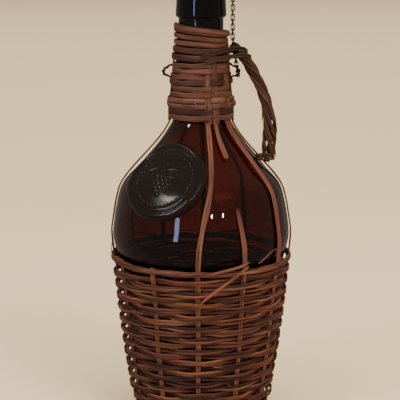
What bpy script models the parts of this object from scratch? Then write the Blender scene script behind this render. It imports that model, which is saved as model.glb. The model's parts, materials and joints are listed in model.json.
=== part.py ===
"""A glass carboy in a woven willow jacket, with a corked mouth on a small chain.

The origin is the centre of the base, +Z is up and -Y is the front, where the seal sits
a little to the left. The handle stands off the right side, over +X. Lengths are metres.
"""

import math

import bmesh
import bpy
from mathutils import Vector

MM = 0.001
GAP = 0.3 * MM

# Heights of the glass, one above the other.
BASE_THICKNESS = 3.5 * MM
HEEL_HEIGHT = 16 * MM
BASKET_HEIGHT = 124 * MM
BELLY_RISE = 15 * MM
BELLY_DEPTH = 13 * MM
SHOULDER_DROP = 23 * MM
SHOULDER_HEIGHT = 23 * MM
THROAT_HEIGHT = 28 * MM
NECK_FLARE = 17 * MM
NECK_HEIGHT = 61 * MM
COLLAR_HEIGHT = 25 * MM

# Outer radii of the glass, with how far in from the belly the body's other levels lie.
BELLY_R = 68 * MM
FOOT_SETBACK = 23.5 * MM
HEEL_SETBACK = 17.8 * MM
FLANK_SETBACK = 10.8 * MM
WAIST_SETBACK = 4.2 * MM
BROW_SETBACK = 1.5 * MM
SHOULDER_SETBACK = 6.5 * MM
SLOPE_SETBACK = 26.7 * MM
THROAT_R = 20.8 * MM
NECK_R = 17 * MM
COLLAR_R = 19.25 * MM
LIP_R = 18.2 * MM

GLASS_WALL = 3 * MM
MOUTH_R = 11.2 * MM
HEEL_ROUND = 9 * MM
HEEL_INSET = 0.6 * MM
REST_RING_R = 33 * MM
PUNT_HEIGHT = 7 * MM
EDGE_ROUND = 2 * MM

# Seal on the shoulder.
SEAL_R = 31.8 * MM
SEAL_THICKNESS = 5 * MM
SEAL_BORDER = 4 * MM
SEAL_UNDERCUT = 2.2 * MM
SEAL_FIT = 0.8 * MM
SEAL_RIM_HEIGHT = 1.2 * MM
SEAL_AZIMUTH = -30
SEAL_TILT = 37
SEAL_DRAPE = 0.72
SEAL_BELOW_THROAT = 39 * MM

# Willow jacket of the body.
STAKE_COUNT = 12
STAKE_TURN = -2
STAKE_WIDTH = 3.8 * MM
STAKE_THICKNESS = 1.4 * MM
WEFT_THICKNESS = 1.6 * MM
ROW_PITCH = 4.5 * MM
ROW_GAP = 0.6 * MM
WEFT_FOOT_GAP = 0.7 * MM
WEAVE_SLACK = 0.5 * MM
STAKE_STEP = 15.5 * MM
JACKET_FIT = 0.4 * MM
RIM_HEIGHT = 4.4 * MM
FOOT_BAND = 1.8 * MM
FOOT_BAND_FIT = 0.3 * MM
SHORT_STAKES = (10, 11)
BROKEN_STAKE = 1
BROKEN_END_DROP = 24 * MM
BROKEN_END_SHIFT = -2
BROKEN_STUMP_DROP = 6 * MM
FRONT_STAKE_TWIST = 14.5
BROKEN_STAKE_TWIST = -10

# Willow wrap of the neck.
WRAP_FOOT_R = 26.6 * MM
WRAP_HEAD_R = 20.3 * MM
WRAP_THICKNESS = 1.6 * MM
WRAP_PITCH = 5 * MM
WRAP_ABOVE_THROAT = 3 * MM
WRAP_BELOW_COLLAR = 8 * MM
WRAP_WAIST = 2 * MM
WRAP_STEP = 1.3 * MM
WRAP_STEP_START = 2 * MM
WRAP_STEP_END = 8 * MM
WRAP_STAKE_LAP = 43 * MM
HEAD_ROD_D = 3 * MM

# Wire round the neck and the chain that hangs on it.
WIRE_D = 1.3 * MM
WIRE_BULGE = 4.6 * MM
WIRE_BELOW_COLLAR = 41 * MM
WIRE_DIP = 7 * MM
WIRE_STAND_OFF = 0.5 * MM
WIRE_BULGE_POWER = 0.55
WIRE_OPEN_ANGLE = 66
CHAIN_WIRE_D = 0.85 * MM
LINK_WIDTH = 3.3 * MM
LINK_PITCH = 3.5 * MM
CHAIN_X = 23.6 * MM
CHAIN_Y = -8.4 * MM
CHAIN_BEND_DROP = 14 * MM
CHAIN_SLACK = 0.25 * MM
CHAIN_FOOT_AZIMUTH = 80

# Stopper.
CORK_LENGTH = 18 * MM
CORK_TAPER = 0.9 * MM
CORK_CHAMFER = 0.6 * MM
CAP_R = 17.4 * MM
CAP_HEIGHT = 7 * MM
EYE_R = 2.9 * MM
EYE_WIRE_D = 1.0 * MM
EYE_NECK = 1.6 * MM
STOPPER_LIFT = 20 * MM

# Handle.
HANDLE_STAKE = 3
HANDLE_CORE_D = 3.6 * MM
HANDLE_ROD_D = 3.1 * MM
HANDLE_RODS = 4
HANDLE_TURNS = 1.3
HANDLE_STAND_OFF = 13 * MM
HANDLE_ROOT_DROP = 20 * MM
HANDLE_FOOT_DROP = 5 * MM
# How far out and how far down the handle bows, as shares of its reach and its fall.
HANDLE_BOW = ((0, 0), (0.36, 0.13), (0.6, 0.27), (0.82, 0.43), (0.96, 0.63), (0.95, 0.8))
LASHING_D = 2.4 * MM
LASHING_STAND_OFF = 0.4 * MM
# Each lashing's name, its side of the neck, its depth below the root and the azimuth it spans.
LASHINGS = (
    ("lashing_front_upper", -1, 4.5 * MM, 92),
    ("lashing_front_lower", -1, 9.5 * MM, 90),
    ("lashing_back", 1, 7 * MM, 66),
)
# Along a lashing: azimuth from the handle, distance off the wrap, and fall.
LASHING_COURSE = ((32, 7.6 * MM, 1 * MM), (46, 4.8 * MM, 2 * MM), (58, 2 * MM, 3 * MM))
LASHING_FALL = 4.6 * MM
TIE_D = 1.6 * MM
TIE_FIT = 0.1 * MM

GLASS_SEGMENTS = 32
WEFT_STEPS = 24
FOOT_TRIALS = 50
WRAP_STEPS = 12
ROD_SIDES = 6
WIRE_SIDES = 5
FLAT_SIDES = 4

# Levels and reaches that the sizes above add up to.
SLOPE_R = BELLY_R - SLOPE_SETBACK
HANDLE_REACH = SLOPE_R + HANDLE_STAND_OFF
BELLY_Z = BASKET_HEIGHT + BELLY_RISE
BROW_Z = BELLY_Z + BELLY_DEPTH
SHOULDER_Z = BROW_Z + SHOULDER_DROP
SLOPE_Z = SHOULDER_Z + SHOULDER_HEIGHT
THROAT_Z = SLOPE_Z + THROAT_HEIGHT
FLARE_Z = THROAT_Z + NECK_FLARE
COLLAR_Z = FLARE_Z + NECK_HEIGHT
LIP_Z = COLLAR_Z + COLLAR_HEIGHT
FLANK_Z = BASKET_HEIGHT / 2
GLASS_Z = BASE_THICKNESS + GAP
WRAP_FOOT_Z = THROAT_Z + WRAP_ABOVE_THROAT
WRAP_HEAD_Z = COLLAR_Z - WRAP_BELOW_COLLAR
WRAP_STAKE_TOP = WRAP_FOOT_Z + WRAP_STAKE_LAP
JACKET_THICKNESS = 2 * (STAKE_THICKNESS / 2 + WEFT_THICKNESS + WEAVE_SLACK)


def smooth_curve(stations):
    """A function of height that passes through (height, radius) stations without overshoot."""
    heights = [station[0] for station in stations]
    radii = [station[1] for station in stations]
    steps = [b - a for a, b in zip(heights, heights[1:])]
    rises = [(b - a) / step for a, b, step in zip(radii, radii[1:], steps)]
    slopes = [rises[0]]
    for before, after in zip(rises, rises[1:]):
        same_way = before * after > 0
        slopes.append(2 * before * after / (before + after) if same_way else 0.0)
    slopes.append(rises[-1])

    def radius_at(height):
        height = min(max(height, heights[0]), heights[-1])
        k = max(i for i in range(len(steps)) if heights[i] <= height)
        t = (height - heights[k]) / steps[k]
        return (
            radii[k] * (1 + 2 * t) * (1 - t) ** 2
            + slopes[k] * steps[k] * t * (1 - t) ** 2
            + radii[k + 1] * t * t * (3 - 2 * t)
            + slopes[k + 1] * steps[k] * t * t * (t - 1)
        )

    return radius_at


glass_r = smooth_curve([
    (0, BELLY_R - FOOT_SETBACK),
    (HEEL_HEIGHT, BELLY_R - HEEL_SETBACK),
    (FLANK_Z, BELLY_R - FLANK_SETBACK),
    (BASKET_HEIGHT - ROW_PITCH, BELLY_R - WAIST_SETBACK),
    (BELLY_Z, BELLY_R),
    (BROW_Z, BELLY_R - BROW_SETBACK),
    (SHOULDER_Z, BELLY_R - SHOULDER_SETBACK),
    (SLOPE_Z, SLOPE_R),
    (THROAT_Z, THROAT_R),
    (FLARE_Z, NECK_R),
    (COLLAR_Z, NECK_R),
])

wrap_r = smooth_curve([
    (WRAP_FOOT_Z, WRAP_FOOT_R),
    (FLARE_Z, WRAP_FOOT_R - WRAP_WAIST),
    (WRAP_STAKE_TOP + WRAP_STEP_START, WRAP_HEAD_R + WRAP_STEP),
    (WRAP_STAKE_TOP + WRAP_STEP_END, WRAP_HEAD_R),
    (WRAP_HEAD_Z, WRAP_HEAD_R),
])


def polar(azimuth, radius, height):
    """The point at an azimuth in degrees, counted from the front towards the right side."""
    angle = math.radians(azimuth)
    return Vector((radius * math.sin(angle), -radius * math.cos(angle), height))


def between(low, high, count):
    return [low + (high - low) * k / (count - 1) for k in range(count)]


def flowing(points, count):
    """Evenly numbered points on a Catmull-Rom curve through the given ones."""
    ends = [2 * points[0] - points[1]] + list(points) + [2 * points[-1] - points[-2]]
    curve = []
    for place in between(0, len(points) - 1, count):
        k = min(int(place), len(points) - 2)
        t = place - k
        a, b, c, d = ends[k:k + 4]
        curve.append(0.5 * (2 * b + (c - a) * t + (2 * a - 5 * b + 4 * c - d) * t ** 2
                            + (3 * b - 3 * c + d - a) * t ** 3))
    return curve


def clear_scene():
    for item in list(bpy.data.objects):
        bpy.data.objects.remove(item)


def finish(name, colour, roughness, metallic=0.0, transmission=0.0):
    made = bpy.data.materials.new(name)
    made.use_nodes = True
    shader = made.node_tree.nodes["Principled BSDF"]
    shader.inputs["Base Color"].default_value = (*colour, 1)
    shader.inputs["Roughness"].default_value = roughness
    shader.inputs["Metallic"].default_value = metallic
    shader.inputs["Transmission Weight"].default_value = transmission
    made.diffuse_color = (*colour, 1)
    return made


def placed(name, mesh, material, sharp=40):
    """Turns a bmesh into an object in the scene, shaded smooth up to the sharp angle."""
    bmesh.ops.recalc_face_normals(mesh, faces=mesh.faces)
    data = bpy.data.meshes.new(name)
    mesh.to_mesh(data)
    mesh.free()
    data.materials.append(material)
    data.shade_smooth()
    data.set_sharp_from_angle(angle=math.radians(sharp))
    made = bpy.data.objects.new(name, data)
    bpy.context.scene.collection.objects.link(made)
    return made


def turned(name, outline, material, segments=GLASS_SEGMENTS):
    """Spins an outline of (radius, height) points about Z; an outline off the axis is closed."""
    mesh = bmesh.new()
    points = [mesh.verts.new((radius, 0, height)) for radius, height in outline]
    pairs = list(zip(points, points[1:]))
    if outline[0][0] > 0:
        pairs.append((points[-1], points[0]))
    edges = [mesh.edges.new(pair) for pair in pairs]
    bmesh.ops.spin(mesh, geom=points + edges, cent=(0, 0, 0), axis=(0, 0, 1),
                   angle=2 * math.pi, steps=segments, use_merge=True)
    bmesh.ops.remove_doubles(mesh, verts=mesh.verts, dist=0.001 * MM)
    return placed(name, mesh, material)


def skinned(name, rings, material, closed=False):
    """Joins rings of points into one skin, capped at both ends unless it closes on itself."""
    mesh = bmesh.new()
    loops = [[mesh.verts.new(point) for point in ring] for ring in rings]
    pairs = list(zip(loops, loops[1:]))
    if closed:
        pairs.append((loops[-1], loops[0]))
    else:
        mesh.faces.new(loops[0])
        mesh.faces.new(loops[-1])
    for near, far in pairs:
        for k in range(len(near)):
            mesh.faces.new((near[k - 1], near[k], far[k], far[k - 1]))
    return placed(name, mesh, material)


def section(centre, across, outward, width, thickness, sides):
    """A ring of points: a box section with four sides, or an ellipse with more."""
    box = sides == FLAT_SIDES
    scale = math.sqrt(0.5) if box else 0.5
    first = math.pi / 4 if box else 0.0
    ring = []
    for k in range(sides):
        angle = first + 2 * math.pi * k / sides
        ring.append(centre + across * (scale * width * math.cos(angle))
                    + outward * (scale * thickness * math.sin(angle)))
    return ring


def swept(name, centres, outwards, width, thickness, material, sides=ROD_SIDES, closed=False):
    """A section carried along centres; each outward vector says which way its thickness faces."""
    rings = []
    last = len(centres) - 1
    for k, (centre, outward) in enumerate(zip(centres, outwards)):
        before = centres[k - 1] if closed or k else centre
        after = centres[(k + 1) % len(centres)] if closed or k < last else centre
        along = (after - before).normalized()
        across = outward.cross(along).normalized()
        rings.append(section(centre, across, along.cross(across), width, thickness, sides))
    return skinned(name, rings, material, closed)


def arc(centre_r, centre_z, radius, first, last, count):
    """Outline points on an arc, its angles in degrees from +radius towards +Z."""
    points = []
    for angle in between(math.radians(first), math.radians(last), count):
        points.append((centre_r + radius * math.cos(angle), centre_z + radius * math.sin(angle)))
    return points


def make_bottle(glass):
    """The blown bottle: one open vessel with a pushed-up base and a deep collar."""
    levels = [HEEL_HEIGHT, FLANK_Z, BASKET_HEIGHT - ROW_PITCH, BELLY_Z, BROW_Z]
    levels += between(SHOULDER_Z, SLOPE_Z, 4) + between(SLOPE_Z, THROAT_Z, 6)[1:] + [FLARE_Z]
    wall = [(glass_r(z), z) for z in levels]
    heel = glass_r(GLASS_Z + HEEL_ROUND) - HEEL_ROUND - HEEL_INSET
    base = [(0, GLASS_Z + PUNT_HEIGHT), (REST_RING_R * 0.7, GLASS_Z + PUNT_HEIGHT * 0.6),
            (REST_RING_R, GLASS_Z)] + arc(heel, GLASS_Z + HEEL_ROUND, HEEL_ROUND, -90, -20, 4)
    collar = [(NECK_R, COLLAR_Z)]
    collar += arc(COLLAR_R - EDGE_ROUND, COLLAR_Z + EDGE_ROUND, EDGE_ROUND, -60, 0, 3)
    collar += arc(LIP_R - EDGE_ROUND, LIP_Z - EDGE_ROUND, EDGE_ROUND, 0, 90, 3)
    mouth = [(MOUTH_R, LIP_Z), (MOUTH_R, COLLAR_Z)]
    inside = [(glass_r(z) - GLASS_WALL, z) for z in reversed(levels)]
    floor_z = GLASS_Z + GLASS_WALL
    floor = [(heel, floor_z + GLASS_WALL), (REST_RING_R, floor_z),
             (0, floor_z + PUNT_HEIGHT)]
    bore = [(NECK_R - GLASS_WALL, COLLAR_Z - EDGE_ROUND * 2)]
    turned("glass_bottle", base + wall + collar + mouth + bore + inside + floor, glass)


def seal_frame():
    """Centre, right-hand axis, upward axis and outward normal of the seal's plane."""
    height = THROAT_Z - SEAL_BELOW_THROAT
    centre = polar(SEAL_AZIMUTH, glass_r(height), height)
    level = polar(SEAL_AZIMUTH, 1, 0)
    tilt = math.radians(SEAL_TILT)
    normal = level * math.cos(tilt) + Vector((0, 0, math.sin(tilt)))
    right = Vector((0, 0, 1)).cross(normal).normalized()
    return centre, right, normal.cross(right), normal


def depth_to_glass(point, normal):
    """How far the glass lies behind a point, straight back along the seal's normal."""
    near, far = -SEAL_R, SEAL_R
    for _ in range(40):
        middle = (near + far) / 2
        probe = point - normal * middle
        outside = math.hypot(probe.x, probe.y) > glass_r(probe.z)
        near, far = (middle, far) if outside else (near, middle)
    return (near + far) / 2


def make_seal(glass):
    """A thick disc pressed on to the shoulder, its back shaped to the glass."""
    centre, right, up, normal = seal_frame()
    border = SEAL_R - SEAL_BORDER
    front = [(0, SEAL_THICKNESS), (border / 2, SEAL_THICKNESS), (border, SEAL_THICKNESS),
             (SEAL_R - SEAL_BORDER / 2, SEAL_THICKNESS + SEAL_RIM_HEIGHT),
             (SEAL_R, SEAL_THICKNESS / 2)]
    back = [(reach, SEAL_FIT) for reach in between(SEAL_R - SEAL_UNDERCUT, 0, 6)]
    mesh = bmesh.new()
    rows = []
    for reach, lift in front + back:
        drape = 1 if lift == SEAL_FIT else SEAL_DRAPE
        row = []
        for k in range(GLASS_SEGMENTS if reach > 0 else 1):
            angle = 2 * math.pi * k / GLASS_SEGMENTS
            flat = centre + reach * (right * math.cos(angle) + up * math.sin(angle))
            row.append(mesh.verts.new(flat + normal * (lift - drape * depth_to_glass(flat, normal))))
        rows.append(row)
    for one, other in zip(rows, rows[1:]):
        for k in range(GLASS_SEGMENTS):
            corners = [one[k - 1 if len(one) > 1 else 0], one[k if len(one) > 1 else 0],
                       other[k if len(other) > 1 else 0], other[k - 1 if len(other) > 1 else 0]]
            mesh.faces.new(list(dict.fromkeys(corners)))
    placed("shoulder_seal", mesh, glass)


def make_stopper(cork, wood, iron):
    """A tapered cork under a turned wooden cap, with a wire eye for the chain."""
    cork_r = MOUTH_R - GAP
    foot = LIP_Z - CORK_LENGTH
    foot_r = cork_r - CORK_TAPER
    turned("cork_stopper", [(0, foot), (foot_r - CORK_CHAMFER, foot), (foot_r, foot + CORK_CHAMFER),
                            (cork_r, LIP_Z), (0, LIP_Z)], cork, GLASS_SEGMENTS // 2)
    low = LIP_Z + GAP
    edge = EDGE_ROUND / 2
    turned("stopper_cap", [(0, low)] + arc(CAP_R - edge, low + edge, edge, -90, 0, 3)
           + arc(CAP_R - edge, low + CAP_HEIGHT - edge, edge, 0, 90, 3)
           + [(CAP_R * 0.4, low + CAP_HEIGHT * 1.15), (0, low + CAP_HEIGHT * 1.2)], wood)
    middle = Vector((CHAIN_X, CHAIN_Y, low + CAP_HEIGHT / 2))
    start = math.sqrt(CAP_R ** 2 - (abs(CHAIN_Y) - EYE_WIRE_D) ** 2) + GAP
    leg = math.degrees(math.asin(EYE_NECK / 2 / EYE_R))
    path = [Vector((start, CHAIN_Y, middle.z + EYE_NECK / 2))]
    for angle in between(180 - leg, leg - 180, 13):
        turn = math.radians(angle)
        path.append(middle + EYE_R * Vector((math.cos(turn), 0, math.sin(turn))))
    path.append(Vector((start, CHAIN_Y, middle.z - EYE_NECK / 2)))
    swept("stopper_eye", path, [Vector((0, 1, 0))] * len(path), EYE_WIRE_D, EYE_WIRE_D, iron)
    return middle - Vector((0, 0, EYE_R))


def wire_point(azimuth):
    """The neck wire's centreline: it dips to the front, where its ends tuck into the wrap."""
    swing = abs(azimuth)
    reach = (swing - WIRE_OPEN_ANGLE) / (180 - WIRE_OPEN_ANGLE)
    height = COLLAR_Z - WIRE_BELOW_COLLAR - WIRE_DIP * math.cos(math.radians(azimuth))
    bulge = WIRE_BULGE * math.sin(math.pi * reach ** WIRE_BULGE_POWER)
    return polar(azimuth, wrap_r(height) + WIRE_STAND_OFF + GAP + WIRE_D / 2 + bulge, height)


def make_neck_wire(iron):
    path = [wire_point(a) for a in between(WIRE_OPEN_ANGLE, 360 - WIRE_OPEN_ANGLE, 25) if a <= 180]
    mirrored = [Vector((-p.x, p.y, p.z)) for p in reversed(path[:-1])]
    path += mirrored
    swept("neck_wire", path, [Vector((0, 0, 1))] * len(path), WIRE_D, WIRE_D, iron)


def make_link(name, centre, along, facing, length, iron):
    """One oval link: its length lies along, and the hole faces along facing."""
    side = facing.cross(along).normalized()
    half_width = (LINK_WIDTH - CHAIN_WIRE_D) / 2
    straight = (length - CHAIN_WIRE_D) / 2 - half_width
    centres = []
    for end in (1, -1):
        for angle in between(0, math.pi, 5):
            centres.append(centre + end * (along * (straight + half_width * math.sin(angle))
                                           + side * (half_width * math.cos(angle))))
    swept(name, centres, [facing] * len(centres), CHAIN_WIRE_D, CHAIN_WIRE_D, iron,
          sides=WIRE_SIDES, closed=True)


def make_chain(eye_foot, iron):
    """Links from the neck wire up to the stopper's eye, each with a share of the lift as play."""
    foot = wire_point(CHAIN_FOOT_AZIMUTH)
    wire_way = (wire_point(CHAIN_FOOT_AZIMUTH + 4) - wire_point(CHAIN_FOOT_AZIMUTH - 4)).normalized()
    bend = Vector((CHAIN_X, CHAIN_Y, COLLAR_Z - CHAIN_BEND_DROP))
    slant = (bend - foot).normalized()
    count = 2 * round(((bend - foot).length + (eye_foot - bend).length) / LINK_PITCH / 2)
    play = STOPPER_LIFT / (count + 1) + CHAIN_SLACK
    link_length = LINK_PITCH + play + 2 * CHAIN_WIRE_D
    end = (link_length - CHAIN_WIRE_D) / 2
    low = foot + slant * (end - (WIRE_D + CHAIN_WIRE_D) / 2 - play)
    high = eye_foot - Vector((0, 0, end - (EYE_WIRE_D + CHAIN_WIRE_D) / 2 - play))
    lower = (bend - low).length
    length = lower + (high - bend).length
    start = math.atan2(wire_way.y, wire_way.x)
    for k in range(count):
        run = length * k / (count - 1)
        on_slant = run < lower
        along = slant if on_slant else Vector((0, 0, 1))
        centre = low + slant * run if on_slant else bend + along * (run - lower)
        heading = start + (math.pi / 2 - start) * k / (count - 1)
        facing = Vector((math.cos(heading), math.sin(heading), 0))
        facing = (facing - along * facing.dot(along)).normalized()
        if k % 2:
            facing = facing.cross(along)
        make_link(f"chain_link_{k + 1:02d}", centre, along, facing, link_length, iron)


def jacket_r(height):
    """Middle radius of the woven jacket, which lies close round the glass."""
    return glass_r(height) + JACKET_FIT + JACKET_THICKNESS / 2


def taut(points):
    """The points of a (radius, height) line that a stretched rod would touch, from outside."""
    kept = []
    for point in points:
        while len(kept) > 1:
            (r0, z0), (r1, z1) = kept[-2], kept[-1]
            if (r1 - r0) * (point[1] - z0) > (point[0] - r0) * (z1 - z0):
                break
            kept.pop()
        kept.append(point)
    return kept


def level_share(line, height):
    """How much longer a level step through a line's thickness is than one square to it."""
    step = 1 * MM
    slope = (line(height + step) - line(height - step)) / (2 * step)
    return math.hypot(1, slope)


def clear_of_glass(height, distance):
    """The radius at a height that stands a distance off the glass, square to its slope."""
    return glass_r(height) + distance * level_share(glass_r, height)


def stake_line():
    """A function giving a long stake's radius at a height, from the foot to inside the wrap."""
    lift = 2 * GAP + STAKE_THICKNESS / 2
    facet = math.cos(math.pi / WRAP_STEPS)
    neck = []
    for z in between(WRAP_FOOT_Z + 1 * MM, WRAP_STAKE_TOP, 5):
        wrapped = (wrap_r(z) - WRAP_THICKNESS) * facet - lift
        neck.append((max(wrapped, glass_r(z) + lift), z))
    shoulder = [(clear_of_glass(z, lift), z) for z in between(BELLY_Z, THROAT_Z, 24)]
    line = taut(shoulder + neck[:1]) + neck[1:]
    drawn_r = smooth_curve([(z, r) for r, z in line])
    return lambda height: max(drawn_r(height), clear_of_glass(height, lift))


def handle_foot_height():
    """The lowest place on the shoulder where a stake stands far enough off for the handle's tie."""
    over_r = stake_line()
    room = STAKE_THICKNESS / 2 + TIE_D + 2 * TIE_FIT
    for z in between(SLOPE_Z - HANDLE_FOOT_DROP, THROAT_Z, FOOT_TRIALS):
        if over_r(z) - glass_r(z) > room * level_share(over_r, z):
            return z
    return THROAT_Z


def make_stakes(willow):
    """Upright stakes: woven in below the rim, and drawn over the shoulder to the neck."""
    over_r = stake_line()
    spacing = 360 / STAKE_COUNT
    woven = between(STAKE_THICKNESS, BASKET_HEIGHT, round(BASKET_HEIGHT / STAKE_STEP) + 1)
    over = between(BELLY_Z, WRAP_FOOT_Z, 13) + between(WRAP_FOOT_Z, WRAP_STAKE_TOP, 5)[1:]
    for index in range(STAKE_COUNT):
        azimuth = STAKE_TURN + spacing * (index if index < STAKE_COUNT / 2 else index - STAKE_COUNT)
        twist = {0: FRONT_STAKE_TWIST, BROKEN_STAKE: BROKEN_STAKE_TWIST}.get(index, 0)
        heights = list(woven)
        if index == BROKEN_STAKE:
            heights += between(BELLY_Z, SHOULDER_Z - BROKEN_STUMP_DROP, 4)
        elif index not in SHORT_STAKES:
            heights += over
        lay_stake(f"stake_{index + 1:02d}", heights, azimuth, twist, over_r, willow)
    top_z = WRAP_STAKE_TOP
    loose = between(THROAT_Z - BROKEN_END_DROP, WRAP_FOOT_Z, 5) + between(WRAP_FOOT_Z, top_z, 5)[1:]
    azimuth = STAKE_TURN + spacing * BROKEN_STAKE + BROKEN_END_SHIFT
    lay_stake("broken_stake_top", loose, azimuth, 1, over_r, willow)


def lay_stake(name, heights, azimuth, twist, over_r, willow):
    centres = []
    outwards = []
    for z in heights:
        radius = jacket_r(z) if z <= BASKET_HEIGHT else over_r(z)
        rise = min(max(0, (z - BASKET_HEIGHT) / (WRAP_FOOT_Z - BASKET_HEIGHT)), 1)
        swing = azimuth + twist * rise * rise * (3 - 2 * rise)
        centres.append(polar(swing, radius, z))
        outwards.append(polar(swing, 1, 0))
    swept(name, centres, outwards, STAKE_WIDTH, STAKE_THICKNESS, willow)


def wall_outward(point):
    """Outward normal of the jacket's wall at a point of it."""
    step = 1 * MM
    lean = (jacket_r(point.z + step) - jacket_r(point.z - step)) / (2 * step)
    level = Vector((point.x, point.y, 0)).normalized()
    return (level - Vector((0, 0, lean))).normalized()


def wave(step, phase):
    """-1, 0 or 1: inside, between or outside the stakes, at a quarter of a weave repeat."""
    return (0, 1, 0, -1)[(step + 1 + 2 * phase) % 4]


def make_weft(name, phase, willow):
    """One of the two chasing wefts, a spiral that passes before and behind alternate stakes."""
    low = BASE_THICKNESS + GAP + WEFT_FOOT_GAP + (phase + 0.5) * ROW_PITCH
    rise = BASKET_HEIGHT - RIM_HEIGHT - GAP - ROW_PITCH / 2 - low
    swing = (JACKET_THICKNESS - WEFT_THICKNESS) / 2
    centres = []
    for step in range(int(rise / (2 * ROW_PITCH) * WEFT_STEPS)):
        z = low + 2 * ROW_PITCH * step / WEFT_STEPS
        azimuth = STAKE_TURN + 360 * step / WEFT_STEPS
        centres.append(polar(azimuth, jacket_r(z) + swing * wave(step, phase), z))
    outwards = [wall_outward(point) for point in centres]
    height = ROW_PITCH - ROW_GAP
    swept(name, centres, outwards, height, WEFT_THICKNESS, willow, sides=FLAT_SIDES)


def make_rim(willow):
    """The closing row above the wefts, woven like them."""
    swing = (JACKET_THICKNESS - WEFT_THICKNESS) / 2
    z = BASKET_HEIGHT - RIM_HEIGHT / 2
    centres = []
    for step in range(WEFT_STEPS):
        azimuth = STAKE_TURN + 360 * step / WEFT_STEPS
        centres.append(polar(azimuth, jacket_r(z) + swing * wave(step, 0), z))
    outwards = [wall_outward(point) for point in centres]
    swept("basket_rim", centres, outwards, RIM_HEIGHT, WEFT_THICKNESS, willow,
          sides=FLAT_SIDES, closed=True)


def make_foot(willow):
    """The band outside the stakes' feet, and the woven base between them."""
    stakes_r = jacket_r(BASE_THICKNESS) + STAKE_THICKNESS / 2
    inner = stakes_r + GAP + FOOT_BAND_FIT
    outer = inner + FOOT_BAND
    band = [(inner, 0), (outer, 0), (outer, BASE_THICKNESS), (inner, BASE_THICKNESS)]
    turned("basket_foot", band, willow, WEFT_STEPS * 2)
    base_r = jacket_r(0) - STAKE_THICKNESS / 2 - GAP
    turned("woven_base", [(0, 0), (base_r, 0), (base_r, BASE_THICKNESS), (0, BASE_THICKNESS)],
           willow, WEFT_STEPS * 2)


def make_neck_wrap(willow):
    """A flat skein coiled round the neck over the stakes' ends, between two rods."""
    turns = int((WRAP_HEAD_Z - WRAP_FOOT_Z - WRAP_PITCH) / WRAP_PITCH)
    start = WRAP_FOOT_Z + WRAP_PITCH / 2
    centres = []
    for step in range(turns * WRAP_STEPS + 1):
        z = start + WRAP_PITCH * step / WRAP_STEPS
        centres.append(polar(360 * step / WRAP_STEPS, wrap_r(z) - WRAP_THICKNESS / 2, z))
    outwards = [Vector((p.x, p.y, 0)).normalized() for p in centres]
    swept("neck_wrap", centres, outwards, WRAP_PITCH - GAP, WRAP_THICKNESS, willow,
          sides=FLAT_SIDES)
    top = start + WRAP_PITCH * turns + WRAP_PITCH / 2 + GAP + HEAD_ROD_D / 2
    head_r = NECK_R + 2 * GAP + HEAD_ROD_D / 2
    turned("neck_head_rod", arc(head_r, top, HEAD_ROD_D / 2, 0, 288, 5), willow, WEFT_STEPS)


def handle_path(count):
    """Centres of the handle's core, from the neck out and down to the shoulder stake."""
    azimuth = STAKE_TURN + HANDLE_STAKE * 360 / STAKE_COUNT
    root_z = COLLAR_Z - HANDLE_ROOT_DROP
    foot_z = handle_foot_height()
    over_r = stake_line()
    root_r = wrap_r(root_z) + GAP + HANDLE_CORE_D / 2
    foot_r = over_r(foot_z) + STAKE_THICKNESS / 2 + GAP * 2 + HANDLE_CORE_D / 2
    span = root_z - foot_z
    points = []
    for out, down in HANDLE_BOW:
        points.append(polar(azimuth, root_r + (HANDLE_REACH - root_r) * out, root_z - span * down))
    points.append(polar(azimuth, foot_r, foot_z))
    return flowing(points, count)


def make_handle(willow):
    """A core rod with four rods wound round it, lashed to the neck and tied to a stake."""
    side = polar(STAKE_TURN + HANDLE_STAKE * 360 / STAKE_COUNT + 90, 1, 0)
    core = handle_path(21)
    swept("handle_core", core, [side] * len(core), HANDLE_CORE_D, HANDLE_CORE_D, willow)
    reach = (HANDLE_CORE_D + HANDLE_ROD_D) / 2 + GAP
    wound = handle_path(25)[3:-3]
    for rod in range(HANDLE_RODS):
        centres = []
        for k, centre in enumerate(wound):
            before = wound[max(k - 1, 0)]
            after = wound[min(k + 1, len(wound) - 1)]
            along = (after - before).normalized()
            out = side.cross(along)
            angle = 2 * math.pi * (rod / HANDLE_RODS + HANDLE_TURNS * k / (len(wound) - 1))
            centres.append(centre + reach * (side * math.cos(angle) + out * math.sin(angle)))
        swept(f"handle_rod_{rod + 1}", centres, [side] * len(centres),
              HANDLE_ROD_D, HANDLE_ROD_D, willow)
    make_lashings(core, willow)


def make_lashings(core, willow):
    """Thin rods from the handle's root round the neck, and the tie at its foot."""
    clear = 3 * GAP + LASHING_STAND_OFF + LASHING_D / 2
    side = HANDLE_CORE_D / 2 + HANDLE_ROD_D + 3 * GAP + LASHING_D / 2
    root_z = COLLAR_Z - HANDLE_ROOT_DROP
    root_x = core[3].x
    for name, way, drop, reach in LASHINGS:
        z = root_z - drop
        near = wrap_r(z) + clear
        points = [Vector((root_x, way * side, z))]
        for swing, off, fall in LASHING_COURSE:
            points.append(polar(90 + way * swing, near + off, z - fall))
        points.append(polar(90 + way * reach, near, z - LASHING_FALL))
        path = flowing(points, 12)
        swept(name, path, [Vector((0, 0, 1))] * len(path), LASHING_D, LASHING_D, willow)
    make_foot_tie(core, willow)


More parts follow.
